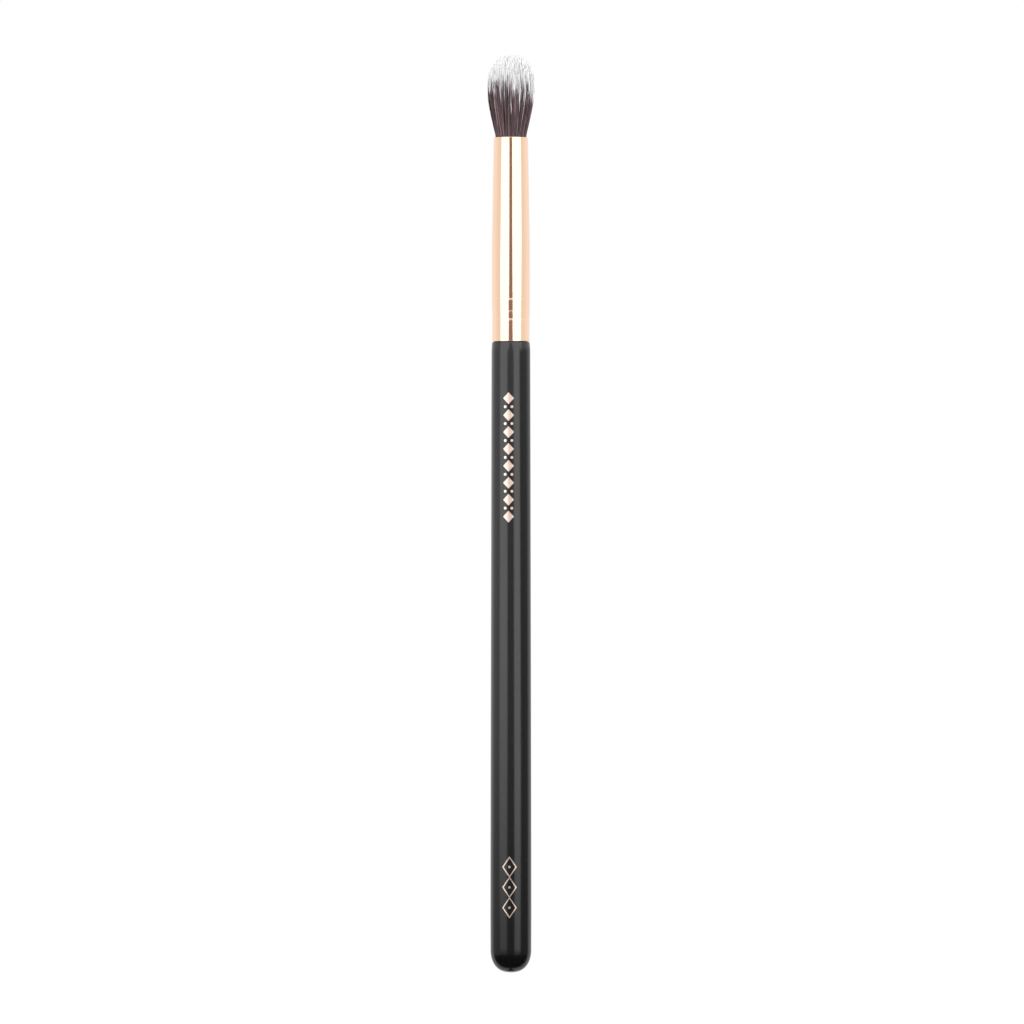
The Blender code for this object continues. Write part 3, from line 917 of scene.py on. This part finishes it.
def bristle_painted_shading(chance, strand, wisp, kind, dye, narrowing):
    """What each bristle's colour is multiplied by at its levels: painted shade and painted
    highlight, strand by strand.
    """
    # Painted shade and highlight: alternating strands darker and lighter, with random spread, for
    # the gaps' shadows and the strands' highlights
    strand_painted_shading = KIND_PAINTED_SHADING_SHARE * -kind + chance.normal(0.0, STRAND_PAINTED_SHADING_SHARE, STRAND_COUNT)
    wisp_painted_shading = chance.normal(0.0, WISP_PAINTED_SHADING_SHARE, WISP_COUNT)
    own_painted_shading = chance.normal(0.0, BRISTLE_PAINTED_SHADING_SHARE, BRISTLE_COUNT)
    painted_shading = np.exp(strand_painted_shading[strand] + wisp_painted_shading[wisp] + own_painted_shading)
    # The white part keeps little of the painted shade and highlight
    painted_shading = 1 + (painted_shading[:, None] - 1) * (1 - WHITE_EVENNESS_SHARE * dye)
    # Painted shade: the tips greyed, standing for the light that passes through them
    painted_shading = painted_shading * (1 - TIP_PAINTED_SHADE_SHARE * narrowing**2)
    return np.clip(painted_shading, *PAINTED_SHADING_LIMITS)


def bristle_lines(chance):
    """Places and thicknesses of every bristle, level by level, with its dye and its painted
    shading.

    Returns lines (count, levels, 3), and thickness, dye and painted shading as (count, levels).
    """
    roots = sunflower(BRISTLE_COUNT) + chance.normal(0.0, ROOT_JITTER_SHARE, (BRISTLE_COUNT, 2))
    wisps = sunflower(WISP_COUNT) + chance.normal(0.0, WISP_JITTER_SHARE, (WISP_COUNT, 2))
    strands = sunflower(STRAND_COUNT) + chance.normal(0.0, STRAND_JITTER_SHARE, (STRAND_COUNT, 2))
    wisp = nearest(roots, wisps)
    strand = nearest(roots, strands)
    kind = alternating(strands, STRAND_KINDS)
    lines, height = bristle_places(chance, strand, wisp, strands, wisps, roots)

    share = np.linspace(0.0, 1.0, BRISTLE_LEVELS)[None, :]
    narrowing = np.clip((share - TIP_TAPER_START_SHARE) / (1 - TIP_TAPER_START_SHARE), 0.0, 1.0)
    thickness = BRISTLE_RADIUS * (1 - (1 - TIP_THICKNESS_SHARE) * narrowing**TIP_TAPER_POWER)
    thickness = thickness * chance.uniform(*BRISTLE_THICKNESS_SHARES, BRISTLE_COUNT)[:, None]
    dye = bristle_dye(chance, strand, wisp, kind, lines, height, thickness)
    painted_shading = bristle_painted_shading(chance, strand, wisp, kind, dye, narrowing)
    return lines, thickness, dye, painted_shading


def bristle_faces(count, levels):
    """The faces round the bristles, then the faces at their feet, then those at their tips."""
    start = np.arange(count)[:, None] * levels * BRISTLE_SIDES
    level = np.arange(levels - 1)[None, :, None] * BRISTLE_SIDES
    side = np.arange(BRISTLE_SIDES)
    first = start[:, :, None] + level + side
    second = start[:, :, None] + level + (side + 1) % BRISTLE_SIDES
    quads = np.stack([first, second, second + BRISTLE_SIDES, first + BRISTLE_SIDES], axis=3)
    feet = start + side[::-1]
    tips = start + (levels - 1) * BRISTLE_SIDES + side
    return quads.reshape(-1, 4).tolist() + feet.tolist() + tips.tolist()


def bristle_map(count, levels):
    """The bake map's corners for those faces, with each bristle in its own cell."""
    columns = math.ceil(math.sqrt(count * BAKE_CELL_RATIO))
    rows = math.ceil(count / columns)
    cell = np.array([1.0 / columns, 1.0 / rows])
    index = np.arange(count)
    origin = np.stack([index % columns, index // columns], axis=1) * cell
    width = STRIP_WIDTH_SHARE * cell[0] / BRISTLE_SIDES
    height = STRIP_HEIGHT_SHARE * cell[1] / (levels - 1)
    across = STRIP_LEFT_SHARE * cell[0] + np.arange(BRISTLE_SIDES)[None, None, :] * width
    up = STRIP_LOW_SHARE * cell[1] + np.arange(levels - 1)[None, :, None] * height
    left = origin[:, 0, None, None] + across
    low = origin[:, 1, None, None] + up
    left, low = np.broadcast_arrays(left, low)
    square = np.stack([
        np.stack([left, low], axis=3),
        np.stack([left + width, low], axis=3),
        np.stack([left + width, low + height], axis=3),
        np.stack([left, low + height], axis=3),
    ], axis=3).reshape(-1, 2)
    end_shares = np.array(END_CORNER_SHARES) + np.array([STRIP_LEFT_SHARE, 0.0])
    feet = (origin[:, None, :] + end_shares * cell).reshape(-1, 2)
    end_shares = end_shares + np.array([0.0, TIP_END_SHARE])
    tips = (origin[:, None, :] + end_shares * cell).reshape(-1, 2)
    return np.concatenate([square, feet, tips])


def bristle_piece(name, lines, thickness, dye, painted_shading, spin, material):
    """One mesh of closed tapering bristles, with the dye, the painted shading and the bake map."""
    count, levels = thickness.shape
    angle = spin[:, None] + np.arange(BRISTLE_SIDES)[None, :] * math.tau / BRISTLE_SIDES
    around = np.stack([np.cos(angle), np.sin(angle), np.zeros_like(angle)], axis=2)
    rings = lines[:, :, None, :] + around[:, None, :, :] * thickness[:, :, None, None]
    faces = bristle_faces(count, levels)
    piece = new_piece(name, rings.reshape(-1, 3), faces, material, smooth=False)
    mesh = piece.data
    # The painted shading is stored beside the dye, for the material to multiply the colour by
    for attribute, values in (("dye", dye), ("painted_shading", painted_shading)):
        stored = mesh.attributes.new(attribute, "FLOAT", "POINT")
        stored.data.foreach_set("value", np.repeat(values.reshape(-1), BRISTLE_SIDES))
    bake = mesh.uv_layers.new(name="OFBake")
    bake.data.foreach_set("uv", bristle_map(count, levels).reshape(-1))
    return piece


def make_tuft(material):
    """The dense tuft, cut into wedges that each stay a manageable mesh."""
    chance = np.random.default_rng(SEED)
    lines, thickness, dye, painted_shading = bristle_lines(chance)
    spin = chance.uniform(0.0, math.tau, BRISTLE_COUNT)
    turn = np.arctan2(lines[:, 0, 1], lines[:, 0, 0]) % math.tau
    wedge = np.minimum((turn / math.tau * TUFT_PIECES).astype(int), TUFT_PIECES - 1)
    for index in range(TUFT_PIECES):
        own = wedge == index
        rows = [values[own] for values in (lines, thickness, dye, painted_shading, spin)]
        piece = bristle_piece(f"bristles_{index + 1}", *rows, material)
        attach(piece, "root")
        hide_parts("bristle_tuft")


# Stage


def make_floor():
    """A pale floor below the butt, which the camera sees as white where nothing shades it.

    It is clear from below, so that a camera down there sees the butt.
    """
    bpy.ops.mesh.primitive_plane_add(size=FLOOR_SIDE, location=(0.0, 0.0, FLOOR_Z))
    floor = bpy.context.object
    floor.name = "floor"
    material, tree, shader = new_material("pale_floor")
    shader.inputs["Base Color"].default_value = (*FLOOR_TONE, 1.0)
    shader.inputs["Roughness"].default_value = FLOOR_ROUGHNESS
    path = add(tree, "ShaderNodeLightPath")
    seen = combined(tree, "MAXIMUM", path.outputs["Is Camera Ray"], path.outputs["Is Glossy Ray"])
    glow = add(tree, "ShaderNodeMath", operation="MULTIPLY")
    link(tree, seen, glow.inputs[0])
    glow.inputs[1].default_value = FLOOR_GLOW
    shader.inputs["Emission Color"].default_value = (*WHITE, 1.0)
    link(tree, glow.outputs["Value"], shader.inputs["Emission Strength"])
    side = add(tree, "ShaderNodeNewGeometry")
    clear = add(tree, "ShaderNodeBsdfTransparent")
    either = add(tree, "ShaderNodeMixShader")
    link(tree, side.outputs["Backfacing"], either.inputs["Fac"])
    link(tree, shader.outputs["BSDF"], either.inputs[1])
    link(tree, clear.outputs["BSDF"], either.inputs[2])
    link(tree, either.outputs["Shader"], tree.nodes["Material Output"].inputs["Surface"])
    floor.data.materials.append(material)


def make_world():
    """White surroundings, in which gloss also sees a few dim parts.

    These are an opening behind the camera, a narrow one opposite it, and the whole front half,
    which is only a little dimmer. The camera and diffuse light see plain white.
    """
    world = bpy.data.worlds.new("studio")
    bpy.context.scene.world = world
    world.use_nodes = True
    tree = world.node_tree
    background = tree.nodes["Background"]
    place = add(tree, "ShaderNodeTexCoord")
    split = add(tree, "ShaderNodeSeparateXYZ")
    link(tree, place.outputs["Generated"], split.inputs["Vector"])

    def eased(axis, ends, results):
        """A value that runs softly between two results along an axis of the direction."""
        return mapped(tree, split.outputs[axis], ends, results, interpolation_type="SMOOTHSTEP")

    front = eased("Y", FRONT_OPENING_Y, (0.0, 1.0))
    above = eased("Z", FRONT_OPENING_Z, (0.0, 1.0))
    behind = eased("Y", BACK_OPENING_Y, (1.0, BACK_OPENING_SHADE))
    beside = eased("Y", FRONT_HALF_Y, (FRONT_HALF_SHADE, 1.0))
    lit = combined(tree, "MINIMUM", combined(tree, "MAXIMUM", front, above), behind)
    lit = combined(tree, "MINIMUM", lit, beside)
    path = add(tree, "ShaderNodeLightPath")
    lit = combined(tree, "MAXIMUM", lit, path.outputs["Is Camera Ray"])
    lit = combined(tree, "MAXIMUM", lit, path.outputs["Is Diffuse Ray"])
    link(tree, ramp(tree, lit, [(0.0, DIM_TONE), (1.0, WHITE)]), background.inputs["Color"])
    background.inputs["Strength"].default_value = 1.0


def emitter(name, stops):
    """A material that only shines, with its strength given at one height or at several.

    stops holds (height, strength) pairs from the lowest up.
    """
    material, tree, shader = new_material(name)
    low = stops[0][0]
    high = stops[-1][0]
    brightest = max(strength for _, strength in stops)
    shader.inputs["Base Color"].default_value = (*BLACK, 1.0)
    shader.inputs["Specular IOR Level"].default_value = 0.0
    shader.inputs["Emission Color"].default_value = (*WHITE, 1.0)
    shader.inputs["Emission Strength"].default_value = brightest
    if len(stops) > 1:
        place = add(tree, "ShaderNodeTexCoord")
        split = add(tree, "ShaderNodeSeparateXYZ")
        link(tree, place.outputs["Object"], split.inputs["Vector"])
        along = mapped(tree, split.outputs["Z"], (low, high), (0.0, 1.0))
        shades = []
        for height, strength in stops:
            shades.append(((height - low) / (high - low), (strength / brightest,) * 3))
        link(tree, ramp(tree, along, shades), shader.inputs["Emission Color"])
    return material


def hidden_from_camera(piece, only_gloss=True):
    """Sets up a piece of the lighting, which casts no shadow and stays out of every view.

    Most of them only make reflections. The world and the panels overhead and above the front
    ones light the brush.
    """
    piece.visible_camera = False
    piece.visible_shadow = False
    piece.visible_diffuse = not only_gloss


def panel(name, distance, rows, stops, only_gloss=True):
    """A curved sheet round the brush, from its rows and its strengths by height."""
    vertices = []
    for z, inner, outer in rows:
        for step in range(PANEL_STEPS + 1):
            azimuth = math.radians(mix(inner, outer, step / PANEL_STEPS))
            vertices.append((distance * math.sin(azimuth), -distance * math.cos(azimuth), z))
    faces = grid_faces(PANEL_STEPS, len(rows) - 1)
    piece = new_piece(name, np.array(vertices), faces, emitter(name, stops))
    hidden_from_camera(piece, only_gloss)


def make_dark_card():
    """A black card on the floor, round the foot of the brush, which stops the floor's glare."""
    place = (0.0, 0.0, FLOOR_Z + DARK_CARD_LIFT)
    bpy.ops.mesh.primitive_plane_add(size=1.0, location=place)
    card = bpy.context.object
    card.name = "dark_card"
    card.scale = (DARK_CARD_SIDE, DARK_CARD_SIDE, 1.0)
    card.data.materials.append(emitter("black_card", NO_STRENGTH))
    hidden_from_camera(card)


def make_lights():
    """Panels in front, above those and overhead, and cards close round the handle.

    The cards are dimmer than the panels and draw the dark bands in the lacquer. The one at the
    butt is black.
    """
    panel("front_left", PANEL_DISTANCE, FRONT_LEFT_ROWS, FRONT_LEFT_STRENGTHS)
    panel("front_right", PANEL_DISTANCE, FRONT_RIGHT_ROWS, FRONT_RIGHT_STRENGTHS)
    panel("upper_left", PANEL_DISTANCE, UPPER_LEFT_ROWS, UPPER_STRENGTHS, only_gloss=False)
    panel("upper_right", PANEL_DISTANCE, UPPER_RIGHT_ROWS, UPPER_STRENGTHS, only_gloss=False)
    panel("front_card", CARD_DISTANCE, FRONT_CARD_ROWS, FRONT_CARD_STRENGTHS)
    panel("right_card", CARD_DISTANCE, RIGHT_CARD_ROWS, RIGHT_CARD_STRENGTHS)
    panel("right_back_card", CARD_DISTANCE, RIGHT_BACK_CARD_ROWS, RIGHT_BACK_CARD_STRENGTHS)
    panel("left_card", CARD_DISTANCE, LEFT_CARD_ROWS, LEFT_CARD_STRENGTHS)
    panel("left_back_card", CARD_DISTANCE, LEFT_BACK_CARD_ROWS, LEFT_BACK_CARD_STRENGTHS)
    panel("butt_card", BUTT_CARD_DISTANCE, BUTT_CARD_ROWS, NO_STRENGTH)
    bpy.ops.mesh.primitive_circle_add(
        vertices=OVERHEAD_STEPS,
        radius=OVERHEAD_RADIUS,
        fill_type="NGON",
        location=(0.0, 0.0, OVERHEAD_Z),
    )
    overhead = bpy.context.object
    overhead.name = "overhead"
    overhead.data.materials.append(emitter("overhead", OVERHEAD_STRENGTHS))
    hidden_from_camera(overhead, only_gloss=False)


def make_camera():
    """A long lens square on to the brush, framed as the photograph."""
    scale = TIP_Z / (PHOTO_BUTT_Y - PHOTO_TIP_Y)
    middle = PHOTO_SIDE / 2
    camera = bpy.data.cameras.new("camera")
    camera.sensor_width = SENSOR_WIDTH
    camera.lens = SENSOR_WIDTH * CAMERA_DISTANCE / (PHOTO_SIDE * scale)
    camera.clip_end = CAMERA_REACH
    eye = bpy.data.objects.new("camera", camera)
    bpy.context.scene.collection.objects.link(eye)
    across = (middle - PHOTO_AXIS_X) * scale
    up = (PHOTO_BUTT_Y - middle) * scale
    eye.location = (across, -CAMERA_DISTANCE, up)
    eye.rotation_euler = (math.pi / 2, 0.0, 0.0)
    bpy.context.scene.camera = eye


def dress_hidden_pieces():
    """Gives the pieces that stay inside the ferrule their own materials."""
    for node, look in HIDDEN_LOOKS.items():
        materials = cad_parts[node].data.materials
        materials.clear()
        materials.append(mottled_material(*look))


def main():
    """Builds the stage, then the brush."""
    bpy.context.scene.view_settings.view_transform = "Standard"
    make_camera()
    make_world()
    make_floor()
    make_dark_card()
    make_lights()
    make_handle(lacquer_material())
    make_ferrule(plating_material())
    make_foil(foil_material())
    make_tuft(bristle_material())
    dress_hidden_pieces()


main()
